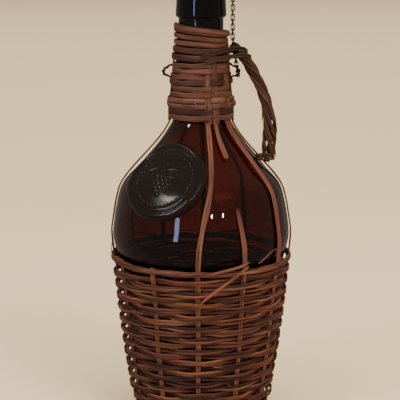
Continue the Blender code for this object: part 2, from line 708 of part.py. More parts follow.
def make_foot_tie(core, willow):
    """A loop that holds the handle's foot to the stake behind it, round the core's slant."""
    above, foot, below = core[-3:]
    lean = math.hypot(above.x - below.x, above.y - below.y) / (above.z - below.z)
    core_reach = HANDLE_CORE_D / 2 * math.hypot(1, lean) + TIE_D / 2 * lean
    over_r = stake_line()
    azimuth = STAKE_TURN + HANDLE_STAKE * 360 / STAKE_COUNT
    stake_back = over_r(foot.z) - STAKE_THICKNESS / 2 * level_share(over_r, foot.z)
    inner = (stake_back + glass_r(foot.z)) / 2
    outer = math.hypot(foot.x, foot.y) + core_reach + 2 * GAP + TIE_D / 2
    middle = polar(azimuth, (inner + outer) / 2, foot.z)
    out = polar(azimuth, 1, 0)
    side = Vector((0, 0, 1)).cross(out)
    half_wide = STAKE_WIDTH / 2 + 2 * GAP + TIE_D / 2
    loop = []
    for angle in between(0, 2 * math.pi, 17)[:-1]:
        far = math.copysign(math.sqrt(abs(math.cos(angle))), math.cos(angle))
        wide = math.copysign(math.sqrt(abs(math.sin(angle))), math.sin(angle))
        loop.append(middle + out * far * (outer - inner) / 2 + side * wide * half_wide)
    swept("handle_foot_tie", loop, [Vector((0, 0, 1))] * len(loop), TIE_D, TIE_D, willow,
          sides=WIRE_SIDES, closed=True)


def build():
    clear_scene()
    amber = finish("amber_glass", (0.035, 0.016, 0.008), 0.06, transmission=0.6)
    willow = finish("willow", (0.19, 0.075, 0.045), 0.55)
    pale = finish("willow_skein", (0.27, 0.12, 0.07), 0.5)
    cork = finish("cork", (0.42, 0.24, 0.12), 0.85)
    dark_wood = finish("dark_wood", (0.06, 0.03, 0.02), 0.45)
    iron = finish("dark_iron", (0.03, 0.03, 0.03), 0.4, metallic=0.9)
    make_bottle(amber)
    make_seal(amber)
    eye_foot = make_stopper(cork, dark_wood, iron)
    make_neck_wire(iron)
    make_chain(eye_foot, iron)
    make_stakes(pale)
    make_weft("basket_weft_a", 0, willow)
    make_weft("basket_weft_b", 1, willow)
    make_rim(willow)
    make_foot(willow)
    make_neck_wrap(willow)
    make_handle(pale)


build()
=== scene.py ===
import json
import math

import bpy
import numpy as np
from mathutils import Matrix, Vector


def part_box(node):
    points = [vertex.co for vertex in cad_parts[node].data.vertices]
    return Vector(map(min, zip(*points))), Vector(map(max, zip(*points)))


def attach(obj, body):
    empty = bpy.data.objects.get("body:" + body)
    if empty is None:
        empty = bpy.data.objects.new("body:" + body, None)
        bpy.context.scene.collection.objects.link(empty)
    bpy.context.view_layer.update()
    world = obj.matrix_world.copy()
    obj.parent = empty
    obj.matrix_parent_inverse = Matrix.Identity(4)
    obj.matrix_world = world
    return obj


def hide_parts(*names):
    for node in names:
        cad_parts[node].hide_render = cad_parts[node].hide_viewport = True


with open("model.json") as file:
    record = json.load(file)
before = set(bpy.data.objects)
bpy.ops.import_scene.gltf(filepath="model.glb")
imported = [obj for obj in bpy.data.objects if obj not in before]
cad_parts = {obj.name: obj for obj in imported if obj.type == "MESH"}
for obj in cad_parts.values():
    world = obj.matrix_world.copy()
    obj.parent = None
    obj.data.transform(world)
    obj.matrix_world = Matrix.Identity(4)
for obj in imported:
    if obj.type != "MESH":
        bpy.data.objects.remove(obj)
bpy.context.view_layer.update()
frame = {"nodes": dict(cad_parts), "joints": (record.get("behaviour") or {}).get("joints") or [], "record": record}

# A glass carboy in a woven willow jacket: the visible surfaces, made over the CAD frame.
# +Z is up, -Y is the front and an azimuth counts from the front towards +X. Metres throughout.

MM = 0.001
TAU = 2 * math.pi
UP = np.array((0, 0, 1.0))

# Glass.
WALL = 3 * MM
COLLAR_HEIGHT = 25 * MM
COLLAR_R = 19.2 * MM
LIP_R = 18.1 * MM
BORE_R = 11.2 * MM
EDGE = 2.2 * MM
HEEL_ROUND = 9 * MM
REST_RING_R = 33 * MM
PUNT = 7 * MM
GLASS_SEGMENTS = 160

# Seal.
SEAL_AZIMUTH = -30
SEAL_TILT = 37
SEAL_THICKNESS = 4.6 * MM
SEAL_DRAPE = 0.72
SEAL_BACK_GAP = 0.15 * MM
SEAL_EDGE_R = 2.4 * MM
BORDER_HEIGHT = 0.9 * MM
BORDER_SETBACK = 2.2 * MM
BORDER_HALF_WIDTH = 2.0 * MM
LINE_HEIGHT = 0.30 * MM
LINE_HALF_WIDTH = 0.45 * MM
LINE_CIRCLE = 0.80
BEADS = 44
BEAD_R = 1.15 * MM
BEAD_HEIGHT = 0.55 * MM
BEAD_CIRCLE = 0.71
GRAPE_R = 2.25 * MM
GRAPE_HEIGHT = 1.0 * MM
GRAPE_ROWS = (4, 3, 4, 3, 2, 1)
LEAF_R = 8.6 * MM
LEAF_HEIGHT = 0.75 * MM

# Willow.
STAKES = 12
STAKE_TURN = -2
SPACING = 360 / STAKES
JACKET_MIDDLE = 3.2 * MM
WEAVE_SWING = 1.85 * MM
ROW_PITCH = 4.5 * MM
ROD_WIDTH = 2.28 * MM
ROD_THICKNESS = 1.55 * MM
RIM_ROD_WIDTH = 2.1 * MM
RIM_ROD_THICKNESS = 1.6 * MM
RIM_SWING = 1.6 * MM
STRIP_WIDTH = 2.05 * MM
STRIP_THICKNESS = 1.35 * MM
WRAP_PITCH = 8.6 * MM
WRAP_ROD_WIDTH = 4.2 * MM
WRAP_ROD_THICKNESS = 1.6 * MM
WRAP_DEPTH = 1.75 * MM
BINDING_D = 1.8 * MM
TAPER_POWER = 0.6

# Metal.
NECK_WIRE_D = 1.35 * MM
TWISTED_WIRE_D = 0.85 * MM
TWIST_R = 1.0 * MM
TWIST_PITCH = 7.5 * MM
LINK_WIRE_D = 0.85 * MM
EYE_WIRE_D = 1.0 * MM
EYE_LEG_OFF = 0.8 * MM

LIP_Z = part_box("glass_bottle")[1].z
FLOOR_GLASS_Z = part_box("glass_bottle")[0].z
COLLAR_Z = LIP_Z - COLLAR_HEIGHT
BASKET_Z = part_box("basket_rim")[1].z
WRAP_FOOT_Z, WRAP_HEAD_Z = (corner.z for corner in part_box("neck_wrap"))
BAND_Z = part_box("stake_01")[1].z


# ---- Reading the frame

def node_points(name):
    """The vertices of a CAD node, as an array."""
    mesh = frame["nodes"][name].data
    found = np.empty(len(mesh.vertices) * 3, np.float32)
    mesh.vertices.foreach_get("co", found)
    return found.reshape(-1, 3).astype(float)


def radii(points):
    return np.hypot(points[:, 0], points[:, 1])


def smooth_table(heights, values, spread, low, high):
    """A function through (height, value) stations, with its kinks rounded off over a spread."""
    heights, values = np.array(heights), np.array(values)
    steps = np.diff(heights)
    rises = np.diff(values) / steps
    same = rises[:-1] * rises[1:] > 0
    total = np.where(same, rises[:-1] + rises[1:], 1)
    inner = np.where(same, 2 * rises[:-1] * rises[1:] / total, 0)
    slopes = np.concatenate([rises[:1], inner, rises[-1:]])
    grid = np.arange(low - 4 * spread, high + 4 * spread, 0.5 * MM)
    clipped = np.clip(grid, heights[0], heights[-1])
    k = np.clip(np.searchsorted(heights, clipped, side="right") - 1, 0, len(steps) - 1)
    t = (clipped - heights[k]) / steps[k]
    exact = (values[k] * (1 + 2 * t) * (1 - t) ** 2 + slopes[k] * steps[k] * t * (1 - t) ** 2
             + values[k + 1] * t * t * (3 - 2 * t) + slopes[k + 1] * steps[k] * t * t * (t - 1))
    reach = np.arange(-3 * spread, 3 * spread + MM / 4, 0.5 * MM)
    weights = np.exp(-0.5 * (reach / spread) ** 2)
    rounded = np.convolve(exact, weights / weights.sum(), mode="same")
    return lambda z: np.interp(z, grid, rounded)


def glass_profile():
    """Outer radius of the glass by height, from the levels where the CAD bottle has both walls."""
    points = node_points("glass_bottle")
    heights = np.round(points[:, 2], 5)
    radius = radii(points)
    stations = [(FLOOR_GLASS_Z, radius[heights < FLOOR_GLASS_Z + MM].max())]
    for z in np.unique(heights):
        found = radius[heights == z]
        if 0.8 * WALL < found.max() - found.min() < 1.2 * WALL and z < COLLAR_Z - EDGE:
            stations.append((z, found.max()))
    stations.append((COLLAR_Z, stations[-1][1]))
    return smooth_table(*zip(*stations[1:]), 2.5 * MM, 0, COLLAR_Z)


def wrap_profile():
    """Outer radius of the neck's wrap by height."""
    points = node_points("neck_wrap")
    stations = []
    for z in np.linspace(WRAP_FOOT_Z, WRAP_HEAD_Z, 9):
        near = np.abs(points[:, 2] - z) < 3 * MM
        stations.append((z, radii(points[near]).max()))
    return smooth_table(*zip(*stations), 2 * MM, WRAP_FOOT_Z, COLLAR_Z)


def centreline(name):
    """The middle of each section of an upright CAD strip, from its foot to its head."""
    points = np.unique(np.round(node_points(name), 6), axis=0)
    points = points[np.argsort(points[:, 2])]
    breaks = np.nonzero(np.diff(points[:, 2]) > 2.5 * MM)[0] + 1
    return np.array([group.mean(0) for group in np.split(points, breaks)])


glass_r = glass_profile()
wrap_r = wrap_profile()


def jacket_r(z):
    return glass_r(z) + JACKET_MIDDLE


# ---- Shapes in arrays

def polar(azimuth, radius, height):
    azimuth, radius, height = np.broadcast_arrays(np.radians(azimuth), radius, height)
    return np.stack([radius * np.sin(azimuth), -radius * np.cos(azimuth), height], -1)


def unit(vectors):
    return vectors / np.maximum(np.linalg.norm(vectors, axis=-1, keepdims=True), 1e-12)


def level_outward(points):
    return unit(points * (1.0, 1.0, 0.0))


def blunted(value, power):
    """A signed value brought nearer to 1 or -1 by a power below 1."""
    return np.sign(value) * np.abs(value) ** power


def around(line, reach, one, other, turn):
    """Points at a reach from a line, each turned from axis one towards axis other."""
    reach = np.broadcast_to(reach, turn.shape)
    return line + reach[:, None] * (one * np.cos(turn)[:, None] + other * np.sin(turn)[:, None])


def flowing(points, count):
    """Points on a Catmull-Rom curve through the given ones."""
    points = np.asarray(points, float)
    ends = np.vstack([2 * points[0] - points[1], points, 2 * points[-1] - points[-2]])
    place = np.linspace(0, len(points) - 1, count)
    k = np.minimum(place.astype(int), len(points) - 2)
    t = (place - k)[:, None]
    a, b, c, d = ends[k], ends[k + 1], ends[k + 2], ends[k + 3]
    return 0.5 * (2 * b + (c - a) * t + (2 * a - 5 * b + 4 * c - d) * t ** 2
                  + (3 * b - 3 * c + d - a) * t ** 3)


def lengths(points):
    return np.concatenate([[0], np.cumsum(np.linalg.norm(np.diff(points, axis=0), axis=1))])


def drift(along, wavelength, seed):
    """A smooth wandering value between about -1 and 1."""
    phases = np.random.default_rng(seed).uniform(0, TAU, 4)
    value = np.zeros_like(np.asarray(along, float))
    for k, phase in enumerate(phases):
        value += np.sin(np.asarray(along) * TAU / wavelength * (0.6 + 0.47 * k) + phase)
    return value / 2.6


def tapered(count, head, tail):
    """1 along a strip, falling to a thin end over shares head and tail of its length."""
    place = np.linspace(0, 1, count)
    size = np.ones(count)
    if head:
        size *= np.clip(place / head, 0.06, 1) ** TAPER_POWER
    if tail:
        size *= np.clip((1 - place) / tail, 0.06, 1) ** TAPER_POWER
    return size


class Bundle:
    """Collects swept strands, and makes one mesh of them with where each point lies on its strand."""

    def __init__(self):
        self.points, self.faces, self.marks = [], [], []
        self.count = 0

    def add(self, path, outward, width, thickness, tint, sides=10, square=0.8, closed=False):
        """Sweeps an oval along path, its thickness outward, which is away from the Z axis if None.

        A square below 1 fills the oval's corners, and tint picks the strand's colour.
        """
        path = np.asarray(path, float)
        outward = level_outward(path) if outward is None else outward
        n = len(path)
        ahead = np.roll(path, -1, 0) - np.roll(path, 1, 0)
        if not closed:
            ahead[0], ahead[-1] = path[1] - path[0], path[-1] - path[-2]
        ahead = unit(ahead)
        across = unit(np.cross(np.broadcast_to(outward, path.shape), ahead))
        out = np.cross(ahead, across)
        angle = TAU * np.arange(sides) / sides
        cosine = blunted(np.cos(angle), square)
        sine = blunted(np.sin(angle), square)
        half_w = np.broadcast_to(np.asarray(width, float) / 2, (n,))[:, None, None]
        half_t = np.broadcast_to(np.asarray(thickness, float) / 2, (n,))[:, None, None]
        rings = (path[:, None] + across[:, None] * cosine[None, :, None] * half_w
                 + out[:, None] * sine[None, :, None] * half_t)
        along = lengths(path)
        marks = np.zeros((n, sides, 3))
        marks[..., 0] = along[:, None]
        marks[..., 1] = np.minimum(angle, TAU - angle) / math.pi
        marks[..., 2] = tint
        start = self.count
        self.points.append(rings.reshape(-1, 3))
        self.marks.append(marks.reshape(-1, 3))
        last = n if closed else n - 1
        for i in range(last):
            near, far = start + i * sides, start + (i + 1) % n * sides
            for k in range(sides):
                m = (k + 1) % sides
                self.faces.append((near + k, near + m, far + m, far + k))
        if not closed:
            self.faces.append(tuple(start + k for k in reversed(range(sides))))
            self.faces.append(tuple(start + (n - 1) * sides + k for k in range(sides)))
        self.count += n * sides

    def build(self, name, material, body="container", nodes=()):
        points = np.concatenate(self.points)
        mesh = bpy.data.meshes.new(name)
        mesh.from_pydata(points.tolist(), [], self.faces)
        mark = mesh.attributes.new("strand", "FLOAT_VECTOR", "POINT")
        mark.data.foreach_set("vector", np.concatenate(self.marks).astype(np.float32).ravel())
        return settle(name, mesh, material, body, nodes)


def settle(name, mesh, material, body, nodes, sharp=55):
    mesh.materials.append(material)
    mesh.shade_smooth()
    mesh.set_sharp_from_angle(angle=math.radians(sharp))
    made = bpy.data.objects.new(name, mesh)
    bpy.context.scene.collection.objects.link(made)
    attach(made, body)
    if nodes:
        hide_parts(*nodes)
    return made


def lathe(name, outline, material, body, nodes, segments=GLASS_SEGMENTS, ripple=0.0, sharp=55):
    """Turns a (radius, height) outline about Z; it starts and ends on the axis, or it is a ring."""
    outline = np.array(outline, float)
    on_axis = outline[0, 0] < 1e-6
    inner = outline[1:-1] if on_axis else outline
    azimuth = 360 * np.arange(segments) / segments
    rings = polar(azimuth[None], inner[:, :1], inner[:, 1:])
    if ripple:
        turn = np.radians(azimuth)[None]
        height = inner[:, 1:] / MM
        wobble = (np.sin(2 * turn + height * 0.021 + 0.7) + 0.7 * np.sin(3 * turn - height * 0.043)
                  + 0.5 * np.sin(5 * turn + height * 0.071 + 2.0))
        fade = np.clip(inner[:, :1] / (30 * MM), 0.15, 1)
        rings[..., :2] *= 1 + (ripple * wobble * fade / np.maximum(inner[:, :1], MM))[..., None]
    points = rings.reshape(-1, 3).tolist()
    faces = []
    rows = len(inner) - 1 if on_axis else len(inner)
    for i in range(rows):
        near, far = i * segments, (i + 1) % len(inner) * segments
        for k in range(segments):
            m = (k + 1) % segments
            faces.append((near + k, near + m, far + m, far + k))
    if on_axis:
        first, last = len(points), len(points) + 1
        points += [(0, 0, outline[0, 1]), (0, 0, outline[-1, 1])]
        end = (len(inner) - 1) * segments
        for k in range(segments):
            m = (k + 1) % segments
            faces.append((first, m, k))
            faces.append((last, end + k, end + m))
    mesh = bpy.data.meshes.new(name)
    mesh.from_pydata(points, [], faces)
    return settle(name, mesh, material, body, nodes, sharp)


def arc(centre_r, centre_z, radius, first, last, count):
    angle = np.radians(np.linspace(first, last, count))
    return [(centre_r + radius * c, centre_z + radius * s) for c, s in zip(np.cos(angle), np.sin(angle))]


# ---- Materials

class Nodes:
    """Short calls for building a shader tree."""

    def __init__(self, name):
        self.material = bpy.data.materials.new(name)
        self.material.use_nodes = True
        self.tree = self.material.node_tree
        self.shader = self.tree.nodes["Principled BSDF"]

    @property
    def place(self):
        return self.add("TexCoord").outputs["Object"]

    def add(self, kind, inputs=(), **settings):
        node = self.tree.nodes.new("ShaderNode" + kind)
        for key, value in settings.items():
            setattr(node, key, value)
        for key, value in dict(inputs).items():
            self.put(node.inputs[key], value)
        return node

    def put(self, socket, value):
        if isinstance(value, bpy.types.NodeSocket):
            self.tree.links.new(value, socket)
        else:
            socket.default_value = value

    def set(self, **values):
        for key, value in values.items():
            self.put(self.shader.inputs[key.replace("_", " ")], value)

    def math(self, operation, *values):
        node = self.add("Math", operation=operation)
        for socket, value in zip(node.inputs, values):
            self.put(socket, value)
        return node.outputs[0]

    def mix(self, factor, one, other, blend="MIX"):
        node = self.add("Mix", data_type="RGBA", blend_type=blend)
        for socket, value in ((0, factor), (6, one), (7, other)):
            self.put(node.inputs[socket], value)
        return node.outputs[2]

    def ramp(self, factor, *stops):
        node = self.add("ValToRGB", {"Fac": factor})
        ramp = node.color_ramp
        while len(ramp.elements) < len(stops):
            ramp.elements.new(0.5)
        for element, (place, colour) in zip(ramp.elements, stops):
            element.position = place
            element.color = (*colour, 1) if len(colour) == 3 else colour
        return node.outputs["Color"]

    def noise(self, vector, scale, detail=3, rough=0.55):
        return self.add("TexNoise", {"Vector": vector, "Scale": scale, "Detail": detail,
                                     "Roughness": rough}).outputs["Fac"]

    def stretch(self, vector, x, y, z):
        node = self.add("Mapping")
        self.put(node.inputs["Vector"], vector)
        node.inputs["Scale"].default_value = (x, y, z)
        return node.outputs[0]

    def bump(self, height, distance, strength=1.0):
        self.set(Normal=self.add("Bump", {"Height": height, "Distance": distance,
                                          "Strength": strength}).outputs["Normal"])


def grey(value):
    return (value, value, value)


def willow(name, tones, dark):
    """Willow rods: a colour for each strand, bark streaks along it, worn patches and dark nicks."""
    n = Nodes(name)
    strand = n.add("Attribute", attribute_name="strand").outputs["Vector"]
    parts = n.add("SeparateXYZ", {"Vector": strand}).outputs
    streaks = n.noise(n.stretch(strand, 38, 6, 31), 1.0, 4, 0.65)
    patches = n.noise(n.stretch(strand, 22, 0.6, 57), 1.0, 3, 0.5)
    fine = n.noise(n.stretch(strand, 420, 26, 77), 1.0, 3, 0.6)
    place = n.math("ADD", parts["Z"], n.math("MULTIPLY", n.math("SUBTRACT", patches, 0.5), 1.7))
    base = n.ramp(place, *[(k / (len(tones) - 1), tone) for k, tone in enumerate(tones)])
    streaked = n.mix(n.ramp(streaks, (0.40, grey(0)), (0.66, grey(0.85))), base, (*dark, 1))
    grain_share = n.ramp(fine, (0.35, grey(0.55)), (0.75, grey(0)))
    grain = n.mix(grain_share, streaked, (0.5, 0.3, 0.2, 1), "SOFT_LIGHT")
    geometry = n.add("NewGeometry").outputs
    worn = n.ramp(geometry["Pointiness"], (0.52, grey(0)), (0.66, grey(0.12)))
    edge = n.mix(worn, grain, (0.34, 0.17, 0.11, 1))
    n.set(Base_Color=edge, Specular_IOR_Level=0.35)
    rough = n.math("ADD", n.math("MULTIPLY", fine, 0.28), 0.38)
    n.set(Roughness=rough)
    height = n.math("ADD", n.math("MULTIPLY", streaks, 0.7), n.math("MULTIPLY", fine, 0.35))
    n.bump(height, 0.5 * MM, 0.8)
    return n.material


def amber(name, depth, density, colour, clearness, roughness):
    """Dark amber glass, tinted by how far light goes through it."""
    n = Nodes(name)
    n.set(Base_Color=(*colour, 1), IOR=1.5, Transmission_Weight=clearness, Roughness=roughness,
          Specular_IOR_Level=0.3)
    swirl = n.noise(n.stretch(n.place, 22, 22, 11), 1.0, 2, 0.5)
    n.bump(swirl, depth)
    volume = n.add("VolumeAbsorption")
    volume.inputs["Color"].default_value = (0.56, 0.24, 0.13, 1)
    volume.inputs["Density"].default_value = density
    n.tree.links.new(volume.outputs[0], n.tree.nodes["Material Output"].inputs["Volume"])
    return n.material


def iron():
    n = Nodes("dark_iron_wire")
    rust = n.noise(n.place, 420.0, 4, 0.65)
    colour = n.ramp(rust, (0.4, (0.022, 0.02, 0.019)), (0.56, (0.05, 0.043, 0.038)),
                    (0.72, (0.12, 0.055, 0.03)))
    n.set(Base_Color=colour, Metallic=n.ramp(rust, (0.5, grey(0.95)), (0.75, grey(0.35))),
          Roughness=n.math("ADD", n.math("MULTIPLY", rust, 0.4), 0.14))
    n.bump(n.noise(n.place, 1500.0, 3), 0.12 * MM, 0.5)
    return n.material


def cork():
    n = Nodes("natural_cork")
    squat = n.stretch(n.place, 1, 1, 0.55)
    cells = n.add("TexVoronoi", {"Vector": squat, "Scale": 520.0}).outputs["Distance"]
    pores = n.noise(n.stretch(n.place, 1, 1, 0.35), 320.0, 4, 0.6)
    base = n.mix(cells, (0.47, 0.27, 0.13, 1), (0.36, 0.19, 0.09, 1))
    pits = n.ramp(pores, (0.58, grey(0)), (0.66, grey(0.85)))
    n.set(Base_Color=n.mix(pits, base, (0.09, 0.04, 0.02, 1)), Roughness=0.88)
    n.bump(n.math("SUBTRACT", cells, n.math("MULTIPLY", pores, 1.6)), 0.4 * MM, 0.7)
    return n.material


def cap_wood():
    n = Nodes("waxed_dark_wood")
    bend = n.noise(n.stretch(n.place, 60, 60, 60), 1.0, 3)
    grain = n.add("TexWave", {"Vector": n.stretch(n.place, 1, 0.25, 1), "Scale": 26.0, "Distortion": 9.0,
                              "Detail": 3.0}).outputs["Fac"]
    colour = n.ramp(grain, (0.1, (0.042, 0.019, 0.011)), (0.6, (0.062, 0.028, 0.015)),
                    (0.95, (0.080, 0.036, 0.019)))
    n.set(Base_Color=n.mix(n.math("MULTIPLY", bend, 0.4), colour, (0.05, 0.02, 0.012, 1)),
          Roughness=n.math("ADD", n.math("MULTIPLY", grain, 0.14), 0.3))
    n.set(Coat_Weight=0.25, Coat_Roughness=0.25)
    n.bump(grain, 0.05 * MM, 0.4)
    return n.material


BARK = (0.018, 0.007, 0.005)
BODY_WILLOW = willow("brown_willow_rods", [(0.022, 0.009, 0.007), (0.062, 0.022, 0.016),
                                           (0.140, 0.045, 0.036), (0.085, 0.028, 0.019),
                                           (0.190, 0.062, 0.022), (0.215, 0.105, 0.068),
                                           (0.105, 0.038, 0.028)], BARK)
NECK_WILLOW = willow("neck_willow_rods", [(0.030, 0.015, 0.012), (0.072, 0.031, 0.024),
                                          (0.140, 0.058, 0.046), (0.085, 0.040, 0.026),
                                          (0.175, 0.088, 0.064)], BARK)
STAKE_WILLOW = willow("split_willow", [(0.085, 0.034, 0.024), (0.160, 0.068, 0.044),
                                       (0.200, 0.092, 0.062), (0.230, 0.085, 0.060)], BARK)
HANDLE_WILLOW = willow("handle_willow", [(0.022, 0.011, 0.008), (0.058, 0.028, 0.018),
                                         (0.085, 0.038, 0.024), (0.135, 0.068, 0.045)], BARK)
BINDING_WILLOW = willow("binding_willow", [(0.016, 0.011, 0.007), (0.036, 0.025, 0.015),
                                           (0.060, 0.038, 0.024)], BARK)
GLASS = amber("amber_bottle_glass", 1.1 * MM, 1080.0, (0.70, 0.52, 0.42), 1.0, 0.02)
SEAL_GLASS = amber("amber_seal_glass", 0.3 * MM, 1500.0, (0.011, 0.006, 0.005), 0.25, 0.2)
IRON = iron()


# ---- Glass and seal

def make_bottle():
    floor = FLOOR_GLASS_Z
    heel_r = float(glass_r(floor + HEEL_ROUND)) - HEEL_ROUND - 0.4 * MM
    outer = [(r, floor + PUNT * math.cos(r / REST_RING_R * math.pi / 2) ** 0.8)
             for r in np.linspace(0, REST_RING_R * 0.96, 12)]
    outer += arc(REST_RING_R, floor + 1.5 * MM, 1.5 * MM, -120, -90, 3)
    outer += arc(heel_r, floor + HEEL_ROUND, HEEL_ROUND, -90, -18, 10)
    levels = np.linspace(floor + HEEL_ROUND, COLLAR_Z - 1.2 * MM, 110)
    outer += [(float(glass_r(z)), z) for z in levels]
    neck_r = float(glass_r(COLLAR_Z))
    outer += arc(neck_r + 1.0 * MM, COLLAR_Z - 0.6 * MM, 1.0 * MM, 180, 100, 4)
    outer += arc(COLLAR_R - EDGE, COLLAR_Z + EDGE, EDGE, -75, 0, 7)
    outer += arc(LIP_R - EDGE, LIP_Z - EDGE, EDGE, 2, 90, 8)
    mouth = arc(BORE_R + 1.2 * MM, LIP_Z - 1.2 * MM, 1.2 * MM, 90, 180, 5)
    mouth += [(BORE_R, COLLAR_Z + 6 * MM), (BORE_R + 0.6 * MM, COLLAR_Z + 2 * MM)]
    inside = [(float(glass_r(z)) - WALL, z) for z in levels[::-1][2:]]
    inner_floor = floor + WALL
    base = arc(heel_r, inner_floor + 7 * MM, 7 * MM, -20, -90, 7)
    base += [(r, inner_floor + PUNT * math.cos(r / REST_RING_R * math.pi / 2) ** 0.8)
             for r in np.linspace(REST_RING_R * 0.96, 0, 10)]
    lathe("blown_bottle", outer + mouth + inside + base, GLASS, "container", ["glass_bottle"],
          ripple=0.13 * MM)


def seal_axes():
    """Centre on the glass, right, up and outward axes of the seal, and its radius."""
    tilt = math.radians(SEAL_TILT)
    normal = np.array(polar(SEAL_AZIMUTH, math.cos(tilt), math.sin(tilt)))
    right = unit(np.cross((0, 0, 1), normal))
    up = np.cross(normal, right)
    points = node_points("shoulder_seal")
    side = points @ right
    rise = points @ up
    middle = right * (side.max() + side.min()) / 2 + up * (rise.max() + rise.min()) / 2
    radius = (side.max() - side.min()) / 2
    ahead = middle + normal * 150 * MM
    return ahead - normal * depth_to_glass(ahead[None], normal)[0], right, up, normal, radius


def depth_to_glass(points, normal):
    """How far the glass lies behind each point, back along the seal's normal."""
    near = np.full(len(points), -60 * MM)
    far = np.full(len(points), 90 * MM)
    for _ in range(36):
        middle = (near + far) / 2
        probe = points - normal * middle[:, None]
        outside = radii(probe) > glass_r(probe[:, 2])
        near, far = np.where(outside, middle, near), np.where(outside, far, middle)
    return (near + far) / 2


def bump_at(x, y, centre_x, centre_y, radius):
    """A round dome."""
    reach = np.hypot(x - centre_x, y - centre_y) / radius
    return np.sqrt(np.clip(1 - reach ** 2, 0, 1))


def leaf_at(x, y, centre_x, centre_y, size, turn):
    """A lobed leaf with sunk veins."""
    dx, dy = x - centre_x, y - centre_y
    reach = np.hypot(dx, dy) / size
    angle = np.arctan2(dy, dx) - turn
    edge = 0.72 + 0.2 * np.cos(5 * angle) + 0.06 * np.cos(15 * angle)
    body = np.clip((edge - reach) / 0.16, 0, 1)
    body = body * body * (3 - 2 * body)
    veins = np.exp(-(np.sin(2.5 * angle) * reach / 0.06) ** 2) * (reach > 0.08)
    return body * (0.75 + 0.25 * reach - 0.45 * veins)


def seal_relief(x, y, radius):
    """Height of the pressed pattern above the seal's field: a border, beads, leaves and grapes."""
    reach = np.hypot(x, y)
    angle = np.arctan2(y, x)
    border = np.clip(1 - ((reach - (radius - BORDER_SETBACK)) / BORDER_HALF_WIDTH) ** 2, 0, 1) ** 0.6
    height = BORDER_HEIGHT * border
    height += LINE_HEIGHT * np.exp(-((reach - radius * LINE_CIRCLE) / LINE_HALF_WIDTH) ** 2)
    cell = (angle / TAU * BEADS) % 1 - 0.5
    arc_way = cell * TAU * radius * BEAD_CIRCLE / BEADS
    beads = 1 - (arc_way / BEAD_R) ** 2 - ((reach - radius * BEAD_CIRCLE) / BEAD_R) ** 2
    height += BEAD_HEIGHT * np.sqrt(np.clip(beads, 0, 1))
    for row, across in enumerate(GRAPE_ROWS):
        for k in range(across):
            centre_x = (k - (across - 1) / 2) * GRAPE_R * 1.72
            centre_y = 2.4 * MM - row * GRAPE_R * 1.42
            height = np.maximum(height, GRAPE_HEIGHT * bump_at(x, y, centre_x, centre_y, GRAPE_R))
    for side in (-1, 1):
        leaf = leaf_at(x, y, side * 8.4 * MM, 8.2 * MM, LEAF_R, math.pi / 2 - side * 0.8)
        height = np.maximum(height, LEAF_HEIGHT * leaf)
    stem = np.exp(-((x - 1.2 * MM * np.sin(y / (2.2 * MM))) / (0.55 * MM)) ** 2)
    stem *= (y > 4 * MM) & (y < 13.5 * MM)
    height = np.maximum(height, 0.7 * MM * stem)
    ripple = np.sin(x / (3.1 * MM) + 1.0) * np.sin(y / (2.3 * MM)) + np.sin((x + y) / (5.0 * MM))
    return height + 0.07 * MM * ripple


def make_seal():
    centre, right, up, normal, radius = seal_axes()
    turns = 320
    angle = TAU * np.arange(turns) / turns
    edge = SEAL_EDGE_R
    rings = [(reach, SEAL_THICKNESS, 1) for reach in np.linspace(0.15 * MM, radius - edge, 110)]
    for lean in np.linspace(10, 100, 9):
        drop = math.radians(lean)
        lift = SEAL_THICKNESS - edge * (1 - math.cos(drop))
        rings.append((radius - edge + edge * math.sin(drop), lift, 1))
    rings.append((radius - 1.2 * MM, SEAL_BACK_GAP + 0.4 * MM, 0))
    rings += [(reach, SEAL_BACK_GAP, 0) for reach in np.linspace(radius - BORDER_SETBACK, 0.15 * MM, 30)]
    points = []
    for reach, lift, front in rings:
        x, y = reach * np.cos(angle), reach * np.sin(angle)
        uneven = 1 + 0.006 * np.sin(2 * angle + 0.6) + 0.004 * np.sin(5 * angle)
        x, y = x * uneven, y * uneven
        flat = centre + x[:, None] * right + y[:, None] * up
        depth = depth_to_glass(flat, normal)
        if front:
            lift = lift + seal_relief(x, y, radius) * (reach < radius - 0.3 * MM)
            depth = depth * SEAL_DRAPE
        points.append(flat + normal * (lift - depth)[:, None])
    faces = []
    for i in range(len(rings) - 1):
        for k in range(turns):
            m = (k + 1) % turns
            faces.append((i * turns + m, i * turns + k, (i + 1) * turns + k, (i + 1) * turns + m))
    faces.append(tuple(range(turns)))
    faces.append(tuple((len(rings) - 1) * turns + k for k in reversed(range(turns))))
    mesh = bpy.data.meshes.new("pressed_seal")
    mesh.from_pydata(np.concatenate(points).tolist(), [], faces)
    settle("pressed_seal", mesh, SEAL_GLASS, "container", ["shoulder_seal"], 80)


# ---- Woven jacket

def weave_phase(azimuth):
    """1 over the first stake and -1 over the next, smooth between."""
    return np.cos(math.pi * (azimuth - STAKE_TURN) / SPACING)


